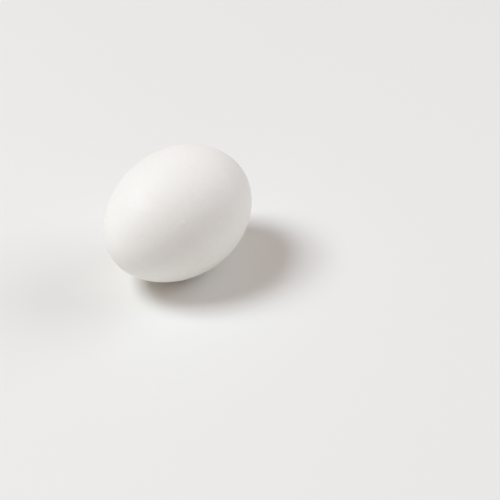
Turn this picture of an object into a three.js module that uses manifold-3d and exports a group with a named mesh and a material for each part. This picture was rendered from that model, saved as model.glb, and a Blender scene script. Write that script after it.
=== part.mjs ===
// A whole hen's egg, hard-boiled in its white shell and lying on its side.
// One piece and one solid. Millimetres, +Z up.
// The origin is the middle of the small flat that the egg rests on, straight under its centre of mass.
// +X runs along the long axis, level, towards the broad end.

import * as THREE from "three";
import { mergeVertices } from "three/addons/utils/BufferGeometryUtils.js";
import Module from "manifold-3d";

// Driving dimensions
const LENGTH = 58.2; // pole to pole
const BREADTH = 44; // diameter at the widest place round
const FULLNESS = 0.035; // share of its radius that the broad end gains and the pointed end loses
const TAPER = 0.054; // share of its radius that each end loses towards its pole
const FLAT_DEPTH = 0.25; // how far the flat lies inside the full round shape

// Fineness of the faceted surface
const RINGS = 48; // rings of facets from pole to pole
const FACETS_ROUND = 64; // facets in one ring
const FINE_RINGS = 4000; // slices that the balance is worked out from

const SHELL = new THREE.MeshStandardMaterial({ color: 0xf2efe8, roughness: 0.6, metalness: 0 });

const wasm = await Module();
wasm.setup();

// How far the outline stands off the long axis, in parts of a plain ellipse's greatest radius.
// turn runs from 0 at the broad pole to PI at the pointed one.
function radiusShare(turn) {
  const along = Math.cos(turn);
  return Math.sin(turn) * (1 + FULLNESS * along - TAPER * along ** 2);
}

// Half of the outline as (radius, place on the long axis) points, from the pointed pole to the broad one.
function outline(rings) {
  const turns = Array.from({ length: rings + 1 }, (_, i) => Math.PI * (1 - i / rings));
  const widest = Math.max(...turns.map(radiusShare));
  return turns.map((turn, i) => {
    const onAxis = i === 0 || i === rings;
    const radius = onAxis ? 0 : ((BREADTH / 2) * radiusShare(turn)) / widest;
    return new THREE.Vector2(radius, (LENGTH / 2) * Math.cos(turn));
  });
}

// How the egg comes to rest: it rolls until its centre of mass is as low as it can get,
// which is over the place where the outline comes nearest to that centre.
function restingPose() {
  const fine = outline(FINE_RINGS);
  let volume = 0;
  let moment = 0;
  for (let i = 1; i < fine.length; i++) {
    const slice = (fine[i].x ** 2 + fine[i - 1].x ** 2) * (fine[i].y - fine[i - 1].y);
    volume += slice;
    moment += (slice * (fine[i].y + fine[i - 1].y)) / 2;
  }
  const balance = new THREE.Vector2(0, moment / volume);
  const reach = (point) => point.distanceTo(balance);
  const touching = fine.reduce((nearest, point) => (reach(point) < reach(nearest) ? point : nearest));
  return {
    balance: balance.y,
    height: reach(touching),
    lean: Math.atan2(balance.y - touching.y, touching.x), // how far the pointed end dips
  };
}

// The full round egg in the place where it rests, its lowest point FLAT_DEPTH under the origin.
function roundEgg() {
  const { balance, height, lean } = restingPose();
  return new THREE.LatheGeometry(outline(RINGS), FACETS_ROUND)
    .translate(0, -balance, 0)
    .rotateZ(-Math.PI / 2)
    .rotateY(-lean)
    .translate(0, 0, height - FLAT_DEPTH);
}

// Everything under the surface that the egg rests on, wider and deeper than the egg.
function surfaceBelow() {
  const side = 2 * Math.max(LENGTH, BREADTH);
  return new THREE.BoxGeometry(side, side, side).translate(0, 0, -side / 2);
}

function solidFrom(geometry) {
  geometry.deleteAttribute("normal");
  geometry.deleteAttribute("uv");
  const merged = mergeVertices(geometry);
  return new wasm.Manifold(
    new wasm.Mesh({
      numProp: 3,
      vertProperties: merged.attributes.position.array,
      triVerts: new Uint32Array(merged.index.array),
    }),
  );
}

function geometryFrom(solid) {
  const { vertProperties, triVerts } = solid.getMesh();
  const geometry = new THREE.BufferGeometry()
    .setAttribute("position", new THREE.BufferAttribute(vertProperties, 3))
    .setIndex(new THREE.BufferAttribute(triVerts, 1));
  geometry.computeVertexNormals();
  return geometry;
}

const egg = new THREE.Mesh(geometryFrom(solidFrom(roundEgg()).subtract(solidFrom(surfaceBelow()))), SHELL);
egg.name = "egg";

const part = new THREE.Group();
part.add(egg);

export default part;
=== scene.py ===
"""The looks of a hen's egg, hard-boiled in its white shell and lying on its side on a pale floor."""

import math

import bpy
import numpy as np
from mathutils import Euler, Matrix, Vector


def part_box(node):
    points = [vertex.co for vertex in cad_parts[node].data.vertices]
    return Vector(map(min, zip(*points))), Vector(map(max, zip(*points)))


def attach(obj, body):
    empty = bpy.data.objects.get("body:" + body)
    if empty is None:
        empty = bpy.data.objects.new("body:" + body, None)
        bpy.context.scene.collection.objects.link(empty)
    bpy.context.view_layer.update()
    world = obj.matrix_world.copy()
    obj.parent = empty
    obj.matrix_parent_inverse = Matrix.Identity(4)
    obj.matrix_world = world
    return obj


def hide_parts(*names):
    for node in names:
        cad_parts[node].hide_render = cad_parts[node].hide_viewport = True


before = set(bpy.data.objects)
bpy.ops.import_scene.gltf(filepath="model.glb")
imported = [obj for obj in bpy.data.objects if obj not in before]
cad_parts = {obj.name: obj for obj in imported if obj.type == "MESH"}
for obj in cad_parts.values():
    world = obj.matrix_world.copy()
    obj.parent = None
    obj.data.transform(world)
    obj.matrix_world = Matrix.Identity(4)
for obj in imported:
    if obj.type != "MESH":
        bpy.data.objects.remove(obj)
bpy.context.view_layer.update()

MM = 0.001  # everything is built in metres

# The egg's shape, as in the solid model. Its length and breadth come from the solid model's box.
FULLNESS = 0.035  # share of its radius that the broad end gains and the pointed end loses
TAPER = 0.054  # share of its radius that each end loses towards its pole
FLAT_DEPTH = 0.25 * MM  # how far the flat that it rests on lies inside the full round shape
SLICES = 4001  # places along the outline where the balance is worked out

# The mesh of the ball that the egg starts as: 3 x 2**5 squares along each edge of a cube
CUBE_CUTS = 2
CUBE_LEVELS = 5

# How uneven the shell is: the size of one swelling or grain, and its height from lowest to highest
SWELLINGS = (14 * MM, 0.10 * MM)
RIPPLES = (3.5 * MM, 0.03 * MM)
GRAIN = (1.1 * MM, 0.016 * MM)

# Lime pimples that a hand would feel, each a low mound, some with a dent in the middle: how far along the
# egg, from -1 at the pointed pole to 1 at the broad one, how far round it, in degrees from the top towards
# -Y, its size against the largest, and whether it is dented
PIMPLES = [
    (-0.454, 53.8, 1.0, True),
    (-0.68, -38, 0.5, False),
    (0.10, -121, 0.45, False),
    (0.52, -72, 0.6, False),
    (0.84, 158, 0.6, True),
]
MOUND = (0.95 * MM, 0.24 * MM)  # the largest one's radius and height
DENT = (0.6 * MM, 0.28 * MM)  # its dent's radius and depth
FINE_AROUND = 1.6 * MM  # how far from its middle the mesh is finer
FINE_CUTS = 3

# The shell's patterns, each by the size of one patch, speck or pore. Real pores and chalk grit are several
# times finer than these and wouldn't show, so both are drawn coarser.
CLOUDS = 9 * MM
MOTTLES = 1.8 * MM
PORES_APART = 0.85 * MM
PORE_RADIUS = 0.17 * MM
PORE_DEPTH = 0.02 * MM
GRIT = 0.4 * MM
GRIT_HEIGHT = 0.005 * MM

# The floor, a hair under the egg so that the two faces don't fight over one plane
FLOOR_SIDE = 4
FLOOR_GAP = 0.02 * MM

# The camera. The egg lies left of the middle of its view.
LENS, SENSOR = 100, 36  # both in mm
LOOK_DOWN = math.radians(37.16)
LOOK_FROM = math.radians(220.4)  # the camera's direction from the egg, +X being 0 and the pointed end 180
AIM_RIGHT, AIM_NEARER, AIM_UP = 24.29 * MM, 7.66 * MM, 11.75 * MM  # from the spot that the egg rests on
DISTANCE = 472.7 * MM

# The lights: a large soft key light from the camera's left, a low white card across from it, a weak one low
# in front, and a weak, slightly warm light from the room all round. A softbox or card goes by its direction
# from the egg and its height over the floor, both in degrees, its distance, width and height in metres, its
# power in watts and its colour.
SOFTBOXES = {
    "key_softbox": (130, 55, 2.4, 1.0, 1.0, 46.4, "#edf7ff"),
    "fill_card": (330, 32, 1.6, 1.2, 1.0, 9.9, "#e6f3ff"),
    "front_card": (225, 8, 1.6, 1.4, 0.6, 2.9, "#d9ecff"),
}
ROOM_COLOUR, ROOM_STRENGTH = "#ffe5d7", 0.32


def linear(hex_colour):
    """An sRGB hex colour as the linear RGBA that shaders work in."""
    srgb = [int(hex_colour[i : i + 2], 16) / 255 for i in (1, 3, 5)]
    return [c / 12.92 if c <= 0.04045 else ((c + 0.055) / 1.055) ** 2.4 for c in srgb] + [1]


def node(tree, kind, inputs=None, **settings):
    """Adds a node with its settings and links, and gives its first output in use.
    An input is a value, or the output that feeds it, and goes by its socket's identifier."""
    made = tree.nodes.new(kind)
    for name, value in settings.items():
        setattr(made, name, value)
    sockets = {socket.identifier: socket for socket in made.inputs}
    for name, value in (inputs or {}).items():
        if isinstance(value, bpy.types.NodeSocket):
            tree.links.new(value, sockets[name])
        else:
            sockets[name].default_value = value
    return next((output for output in made.outputs if output.enabled), None)


def new_material(name):
    """An empty material and its node tree."""
    made = bpy.data.materials.new(name)
    made.use_nodes = True
    made.node_tree.nodes.clear()
    return made, made.node_tree


def white_eggshell():
    """White hen's eggshell, grown, then washed and boiled: fine chalk with its bloom mostly gone.
    It looks a soft warm white and satin, a little clouded, with pores that only show close to."""
    made, tree = new_material("white_eggshell_satin")
    place = tree.nodes.new("ShaderNodeTexCoord").outputs["Object"]
    clouds = node(tree, "ShaderNodeTexNoise", {"Vector": place, "Scale": 1 / CLOUDS, "Detail": 3})
    mottles = node(tree, "ShaderNodeTexNoise", {"Vector": place, "Scale": 1 / MOTTLES, "Detail": 3})
    grit = node(tree, "ShaderNodeTexNoise", {"Vector": place, "Scale": 1 / GRIT, "Detail": 2})

    # 1 all over, and down to 0 in the middle of each pore
    to_pore = node(tree, "ShaderNodeTexVoronoi", {"Vector": place, "Scale": 1 / PORES_APART})
    unpitted = node(
        tree,
        "ShaderNodeMapRange",
        {"Value": to_pore, "From Max": PORE_RADIUS / PORES_APART},
        interpolation_type="SMOOTHSTEP",
    )

    # Chalk white, clouded where the shell holds more water, mottled finely, and with painted shade
    # darkening the pores
    clouded = node(
        tree,
        "ShaderNodeMix",
        {"Factor_Float": clouds, "A_Color": linear("#f7f5f0"), "B_Color": linear("#f3f0e9")},
        data_type="RGBA",
    )
    patchy = node(
        tree,
        "ShaderNodeMapRange",
        {"Value": mottles, "From Min": 0.35, "From Max": 0.75, "To Max": 0.2},
    )
    mottled = node(
        tree,
        "ShaderNodeMix",
        {"Factor_Float": patchy, "A_Color": clouded, "B_Color": linear("#ebe7dd")},
        data_type="RGBA",
    )
    # Painted shade: the colour is darkened in each pore, as the shade that falls in the pit
    pores_painted_shade = node(
        tree,
        "ShaderNodeMix",
        {"Factor_Float": unpitted, "A_Color": linear("#e5e1d7"), "B_Color": mottled},
        data_type="RGBA",
    )

    # Rubbed a little smoother in some of the clouds
    roughness = node(
        tree,
        "ShaderNodeMapRange",
        {"Value": clouds, "From Min": 0.3, "From Max": 0.7, "To Min": 0.52, "To Max": 0.66},
    )

    grain = node(tree, "ShaderNodeBump", {"Height": grit, "Distance": GRIT_HEIGHT})
    surface = node(tree, "ShaderNodeBump", {"Height": unpitted, "Distance": PORE_DEPTH, "Normal": grain})
    shell = node(
        tree,
        "ShaderNodeBsdfPrincipled",
        {"Base Color": pores_painted_shade, "Roughness": roughness, "IOR": 1.5, "Normal": surface},
    )
    node(tree, "ShaderNodeOutputMaterial", {"Surface": shell})
    return made


def pale_floor():
    """Floor painted a pale white, rolled smooth: a soft sheen, and no mirror image of the egg."""
    made, tree = new_material("pale_floor_paint")
    paint = node(
        tree,
        "ShaderNodeBsdfPrincipled",
        {"Base Color": linear("#edece8"), "Roughness": 0.4, "IOR": 1.45},
    )
    node(tree, "ShaderNodeOutputMaterial", {"Surface": paint})
    return made


def modify(piece, kind, **settings):
    """Adds a modifier with its settings and applies it."""
    made = piece.modifiers.new(kind, kind)
    for name, value in settings.items():
        setattr(made, name, value)
    bpy.ops.object.modifier_apply(modifier=made.name)


def edit(piece, faces=None, vertices=None):
    """Opens the piece in edit mode, all of it selected or only the faces or vertices that pass a test."""
    passes = faces or vertices
    bpy.context.tool_settings.mesh_select_mode = (faces is None, False, faces is not None)
    bpy.ops.object.mode_set(mode="EDIT")
    bpy.ops.mesh.select_all(action="DESELECT" if passes else "SELECT")
    bpy.ops.object.mode_set(mode="OBJECT")
    if passes:
        for element in piece.data.polygons if faces else piece.data.vertices:
            element.select = passes(element)
    bpy.ops.object.mode_set(mode="EDIT")


def done():
    """Leaves edit mode."""
    bpy.ops.object.mode_set(mode="OBJECT")


def radius_share(along):
    """How far the outline stands off the long axis, in parts of a plain ellipse's greatest radius.
    along runs from -1 at the pointed pole to 1 at the broad one."""
    return np.sqrt(1 - along**2) * (1 + FULLNESS * along - TAPER * along**2)


def radius_at(along, breadth):
    """The egg's radius at a place or places along it."""
    widest = radius_share(np.linspace(-1, 1, SLICES)).max()
    return breadth / 2 * radius_share(along) / widest


def resting_pose(length, breadth):
    """How the egg comes to rest, its centre of mass as low as it can get: that centre's place on the long
    axis, its height, and the angle by which the pointed end dips."""
    along = np.linspace(-1, 1, SLICES)
    place, radius = length / 2 * along, radius_at(along, breadth)
    balance = (radius**2 * place).sum() / (radius**2).sum()
    reach = np.hypot(radius, place - balance)
    touching = reach.argmin()
    return balance, reach[touching], math.atan2(balance - place[touching], radius[touching])


def shape_egg(length, breadth):
    """A ball stretched and tapered to the egg, its long axis along X and the broad end towards +X."""
    bpy.ops.mesh.primitive_cube_add(size=1)
    egg = bpy.context.object
    edit(egg)
    bpy.ops.mesh.subdivide(number_cuts=CUBE_CUTS)
    done()
    modify(egg, "SUBSURF", levels=CUBE_LEVELS, render_levels=CUBE_LEVELS)
    modify(egg, "CAST", cast_type="SPHERE", factor=1, use_radius_as_size=False, size=length / 2)

    # Two tapers, one towards each end, multiply to the outline's formula.
    spread = math.sqrt((FULLNESS / 2) ** 2 + TAPER)
    for slope in (FULLNESS / 2 + spread, FULLNESS / 2 - spread):
        modify(egg, "SIMPLE_DEFORM", deform_method="TAPER", deform_axis="X", factor=2 * slope)
    squeeze = breadth / egg.dimensions.y
    edit(egg)
    bpy.ops.transform.resize(value=(1, squeeze, squeeze), center_override=(0, 0, 0))
    done()
    return egg


def make_uneven(egg):
    """The slight swellings, ripples and grain of a shell that grew, as real shape."""
    for size, height in (SWELLINGS, RIPPLES, GRAIN):
        clouds = bpy.data.textures.new("unevenness", "CLOUDS")
        clouds.noise_scale = size
        modify(egg, "DISPLACE", texture=clouds, texture_coords="LOCAL", strength=height, mid_level=0.5)


def add_pimple(egg, length, breadth, along, around, size, dented):
    """A lime pimple: a mound drawn out of a finer patch of the mesh, and a dent pushed into it."""
    radius, turn = radius_at(along, breadth), math.radians(around)
    middle = Vector((length / 2 * along, -radius * math.sin(turn), radius * math.cos(turn)))
    edit(egg, faces=lambda face: (face.center - middle).length < FINE_AROUND * size)
    bpy.ops.mesh.subdivide(number_cuts=FINE_CUTS)
    done()
    tip = min(egg.data.vertices, key=lambda vertex: (vertex.co - middle).length).index
    edit(egg, vertices=lambda vertex: vertex.index == tip)
    for reach, height in [MOUND, (DENT[0], -DENT[1])] if dented else [MOUND]:
        bpy.ops.transform.shrink_fatten(
            value=height * size,
            use_proportional_edit=True,
            proportional_edit_falloff="SMOOTH",
            proportional_size=reach * size,
        )
    done()


def lay_down(egg, balance, height, lean):
    """Puts the egg in the place where it rests, and presses what is under the floor level with it."""
    edit(egg)
    bpy.ops.transform.translate(value=(-balance, 0, 0))
    # Without a window, transform.rotate turns the other way.
    bpy.ops.transform.rotate(value=lean, orient_axis="Y", center_override=(0, 0, 0))
    bpy.ops.transform.translate(value=(0, 0, height - FLAT_DEPTH))
    done()
    edit(egg, vertices=lambda vertex: vertex.co.z < 0)
    bpy.ops.transform.resize(value=(1, 1, 0), center_override=(0, 0, 0))
    done()


def make_egg():
    """The egg in its shell, at the size and in the place of the solid model."""
    low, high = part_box("egg")
    reach, breadth = high.x - low.x, high.y - low.y
    # The egg leans, so it is a little longer than its box.
    lean = resting_pose(reach, breadth)[2]
    length = reach / math.cos(lean)

    bpy.ops.object.select_all(action="DESELECT")
    egg = shape_egg(length, breadth)
    make_uneven(egg)
    for pimple in PIMPLES:
        add_pimple(egg, length, breadth, *pimple)
    # The finer patches leave the faces round them with more than four corners, so these become triangles.
    modify(egg, "TRIANGULATE", min_vertices=5, ngon_method="BEAUTY")
    lay_down(egg, *resting_pose(length, breadth))
    bpy.ops.object.shade_smooth()
    egg.name = "egg_in_shell"
    egg.data.materials.clear()
    egg.data.materials.append(white_eggshell())
    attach(egg, "root")
    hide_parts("egg")


def make_floor():
    """The plain pale floor."""
    bpy.ops.mesh.primitive_plane_add(size=FLOOR_SIDE, location=(0, 0, -FLOOR_GAP))
    bpy.ops.object.transform_apply()
    floor = bpy.context.object
    floor.name = "floor"
    floor.data.materials.append(pale_floor())


def make_camera():
    """The camera, looking down on the egg from between its side and its pointed end."""
    data = bpy.data.cameras.new("camera")
    data.lens, data.sensor_width = LENS, SENSOR
    camera = bpy.data.objects.new("camera", data)
    bpy.context.scene.collection.objects.link(camera)
    camera.rotation_euler = Euler((math.pi / 2 - LOOK_DOWN, 0, LOOK_FROM + math.pi / 2))
    turn = camera.rotation_euler.to_matrix()
    right = turn @ Vector((1, 0, 0))
    away = Vector((0, 0, 1)).cross(right)
    aim = right * AIM_RIGHT - away * AIM_NEARER + Vector((0, 0, AIM_UP))
    camera.location = aim + turn @ Vector((0, 0, DISTANCE))
    bpy.context.scene.camera = camera


def add_softbox(name, azimuth, elevation, distance, width, height, power, colour):
    """A soft area light that faces the spot that the egg rests on."""
    light = bpy.data.lights.new(name, "AREA")
    light.shape = "RECTANGLE"
    light.size, light.size_y = width, height
    light.energy, light.color = power, linear(colour)[:3]
    softbox = bpy.data.objects.new(name, light)
    bpy.context.scene.collection.objects.link(softbox)
    softbox.rotation_euler = Euler((math.radians(90 - elevation), 0, math.radians(azimuth + 90)))
    softbox.location = softbox.rotation_euler.to_matrix() @ Vector((0, 0, distance))


def make_light():
    """The softboxes and cards, and the light from the room."""
    for name, facts in SOFTBOXES.items():
        add_softbox(name, *facts)
    world = bpy.data.worlds.new("studio")
    world.use_nodes = True
    room = world.node_tree.nodes["Background"].inputs
    room["Color"].default_value = linear(ROOM_COLOUR)
    room["Strength"].default_value = ROOM_STRENGTH
    bpy.context.scene.world = world


make_egg()
make_floor()
make_camera()
make_light()
bpy.context.scene.view_settings.view_transform = "Standard"
